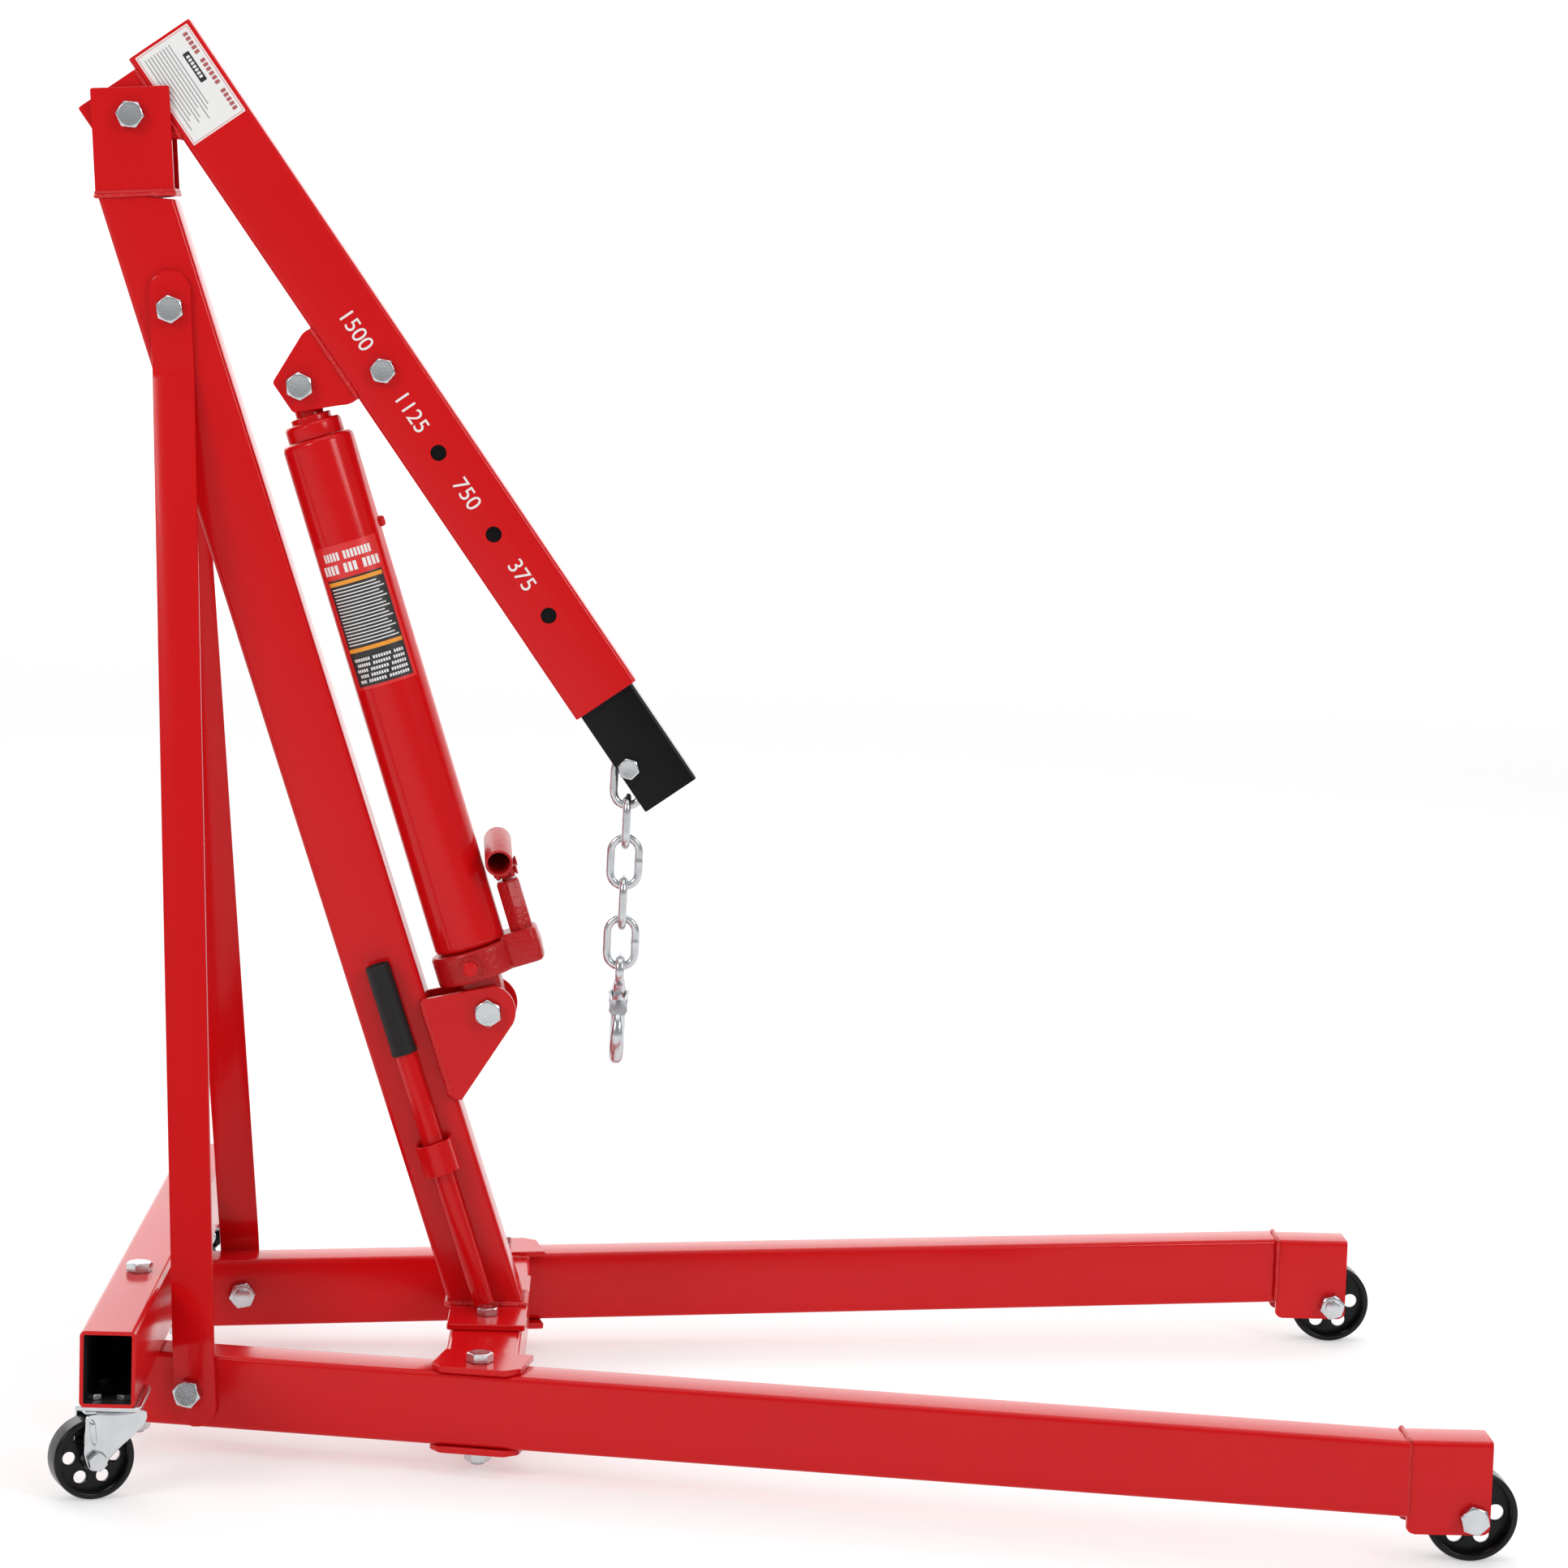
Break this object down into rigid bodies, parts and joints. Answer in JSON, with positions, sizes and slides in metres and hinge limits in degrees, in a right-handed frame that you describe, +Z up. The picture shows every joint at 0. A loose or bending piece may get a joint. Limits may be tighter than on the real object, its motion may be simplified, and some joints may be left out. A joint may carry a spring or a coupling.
{
  "type": "engine hoist crane",
  "caption": "Wheeled steel workshop crane with splayed legs, a braced leaning mast, a hydraulic jack under a telescopic boom, and a chain with a latch hook.",
  "frame": {"origin": "on the floor, at the middle of the footprint of the whole object at rest (bottom centre of its bounding box)", "axes": "+X forward along the legs towards the hook side, +Y to the crane's left across the legs, +Z up"},
  "size_m": [1.3884, 0.8986, 1.3445],
  "materials": {
    "frame_red": "glossy red enamel",
    "jack_red": "glossy red enamel, rough casting below",
    "extension_black": "glossy black enamel",
    "wheel_black": "black painted",
    "zinc": "bright zinc plated",
    "grip_black": "matte"
  },
  "bodies": {
    "frame_body": {"beam_bolt_left": "zinc", "beam_bolt_right": "zinc", "boom_pivot_bolt": "zinc", "brace_foot_bolt_left": "zinc", "brace_foot_bolt_right": "zinc", "brace_left": "frame_red", "brace_right": "frame_red", "brace_top_bolt": "zinc", "caster_plate_left": "zinc", "caster_plate_right": "zinc", "clamp_bolt_left": "zinc", "clamp_bolt_right": "zinc", "foot_bolt_left": "zinc", "foot_bolt_right": "zinc", "front_axle_bolt_left": "zinc", "front_axle_bolt_right": "zinc", "front_cross_member": "frame_red", "handle_clip": "frame_red", "jack_bracket": "frame_red", "jack_foot_bolt": "zinc", "leg_left": "frame_red", "leg_right": "frame_red", "mast": "frame_red", "mast_head_clevis": "frame_red", "rear_cross_beam": "frame_red", "wheel_bracket_left": "frame_red", "wheel_bracket_right": "frame_red"},
    "front_wheel_left_body": {"front_wheel_left": "wheel_black"},
    "caster_left_body": {"caster_fork_left": "zinc", "caster_axle_left": "zinc"},
    "caster_wheel_left_body": {"caster_wheel_left": "wheel_black"},
    "front_wheel_right_body": {"front_wheel_right": "wheel_black"},
    "caster_right_body": {"caster_fork_right": "zinc", "caster_axle_right": "zinc"},
    "caster_wheel_right_body": {"caster_wheel_right": "wheel_black"},
    "boom_body": {"boom_tube": "frame_red", "boom_pivot_bracket": "frame_red", "ram_bracket": "frame_red", "ram_pin_head": "zinc", "ram_pin_nut": "zinc", "boom_lock_bolt": "zinc"},
    "extension_body": {"boom_extension": "extension_black", "chain_bolt": "zinc"},
    "link_1_body": {"chain_link_1": "zinc"},
    "link_2_body": {"chain_link_2": "zinc"},
    "link_3_body": {"chain_link_3": "zinc"},
    "link_4_body": {"chain_link_4": "zinc"},
    "link_5_body": {"chain_link_5": "zinc"},
    "hook_body": {"lifting_hook": "zinc"},
    "latch_body": {"hook_latch": "zinc"},
    "jack_body": {"jack_reservoir": "jack_red", "jack_base": "jack_red", "jack_top_nut": "jack_red", "pump_barrel": "jack_red"},
    "ram_body": {"jack_ram": "jack_red"},
    "plunger_body": {"pump_plunger": "jack_red"},
    "socket_body": {"handle_socket": "jack_red"},
    "valve_body": {"release_valve": "jack_red"},
    "stored_handle_body": {"pump_handle": "frame_red", "handle_grip": "grip_black"}
  },
  "joints": [
    {"name": "front_wheel_spin_left", "type": "hinge", "parent": "frame_body", "child": "front_wheel_left_body", "pos_m": [0.65173, 0.414, 0.04255], "axis": [0, 1, 0], "continuous": true},
    {"name": "caster_swivel_left", "type": "hinge", "parent": "frame_body", "child": "caster_left_body", "pos_m": [-0.5803, 0.382, 0.09248], "axis": [-0.0169, 0, 0.9999], "continuous": true},
    {"name": "caster_wheel_spin_left", "type": "hinge", "parent": "caster_left_body", "child": "caster_wheel_left_body", "pos_m": [-0.59764, 0.39014, 0.03758], "axis": [0.4067, 0.9135, 0.0069], "continuous": true},
    {"name": "front_wheel_spin_right", "type": "hinge", "parent": "frame_body", "child": "front_wheel_right_body", "pos_m": [0.65173, -0.414, 0.04255], "axis": [0, 1, 0], "continuous": true},
    {"name": "caster_swivel_right", "type": "hinge", "parent": "frame_body", "child": "caster_right_body", "pos_m": [-0.5803, -0.382, 0.09248], "axis": [-0.0169, 0, 0.9999], "continuous": true},
    {"name": "caster_wheel_spin_right", "type": "hinge", "parent": "caster_right_body", "child": "caster_wheel_right_body", "pos_m": [-0.59764, -0.39014, 0.03758], "axis": [-0.4067, 0.9135, -0.0069], "continuous": true},
    {"name": "boom_lift", "type": "hinge", "parent": "frame_body", "child": "boom_body", "pos_m": [-0.64265, 0, 1.25063], "axis": [0, -1, 0], "range_deg": [0, 100]},
    {"name": "boom_extend", "type": "slide", "parent": "boom_body", "child": "extension_body", "axis": [0.5944, 0, -0.8042], "range_m": [0, 0.285]},
    {"name": "jack_tilt", "type": "hinge", "parent": "frame_body", "child": "jack_body", "pos_m": [-0.26693, 0, 0.39804], "axis": [0, -1, 0], "range_deg": [-10.6, 0]},
    {"name": "ram_slide", "type": "slide", "parent": "jack_body", "child": "ram_body", "axis": [-0.3244, 0, 0.9459], "range_m": [0, 0.42]},
    {"name": "chain_hang", "type": "hinge", "parent": "extension_body", "child": "link_1_body", "pos_m": [-0.13999, 0, 0.64228], "axis": [0, -1, 0], "range_deg": [-100, 0]},
    {"name": "link_swing_2", "type": "hinge", "parent": "link_1_body", "child": "link_2_body", "pos_m": [-0.13999, 0, 0.60418], "axis": [1, 0, 0], "range_deg": [-30, 30]},
    {"name": "link_swing_3", "type": "hinge", "parent": "link_2_body", "child": "link_3_body", "pos_m": [-0.13999, 0, 0.56418], "axis": [0, 1, 0], "range_deg": [-30, 12]},
    {"name": "link_swing_4", "type": "hinge", "parent": "link_3_body", "child": "link_4_body", "pos_m": [-0.13999, 0, 0.52418], "axis": [1, 0, 0], "range_deg": [-30, 30]},
    {"name": "link_swing_5", "type": "hinge", "parent": "link_4_body", "child": "link_5_body", "pos_m": [-0.13999, 0, 0.48418], "axis": [0, 1, 0], "range_deg": [-30, 30]},
    {"name": "hook_swing", "type": "hinge", "parent": "link_5_body", "child": "hook_body", "pos_m": [-0.13999, 0, 0.44418], "axis": [1, 0, 0], "range_deg": [-35, 35]},
    {"name": "latch_swing", "type": "hinge", "parent": "hook_body", "child": "latch_body", "pos_m": [-0.13999, 0.01, 0.41718], "axis": [1, 0, 0], "range_deg": [0, 25], "stiffness_Nm_per_rad": 0.06, "springref_deg": -34.38},
    {"name": "socket_pump", "type": "hinge", "parent": "jack_body", "child": "socket_body", "pos_m": [-0.25897, 0.02, 0.5382], "axis": [-0.9459, 0, -0.3244], "range_deg": [0, 35]},
    {"name": "plunger_slide", "type": "slide", "parent": "jack_body", "child": "plunger_body", "axis": [-0.3244, 0, 0.9459], "range_m": [0, 0.0157]},
    {"name": "valve_turn", "type": "hinge", "parent": "jack_body", "child": "valve_body", "pos_m": [-0.28534, 0, 0.44247], "axis": [0, -1, 0], "range_deg": [0, 360]},
    {"name": "handle_lift_out", "type": "slide", "parent": "frame_body", "child": "stored_handle_body", "axis": [-0.3338, 0, 0.9426], "range_m": [0, 0.3]}
  ],
  "couplings": [
    {"joint": "jack_tilt", "follows": "boom_lift", "ratio": -0.105},
    {"joint": "ram_slide", "follows": "boom_lift", "m_per_rad": 0.24},
    {"joint": "chain_hang", "follows": "boom_lift", "ratio": -1},
    {"joint": "plunger_slide", "follows": "socket_pump", "m_per_rad": 0.0254}
  ]
}
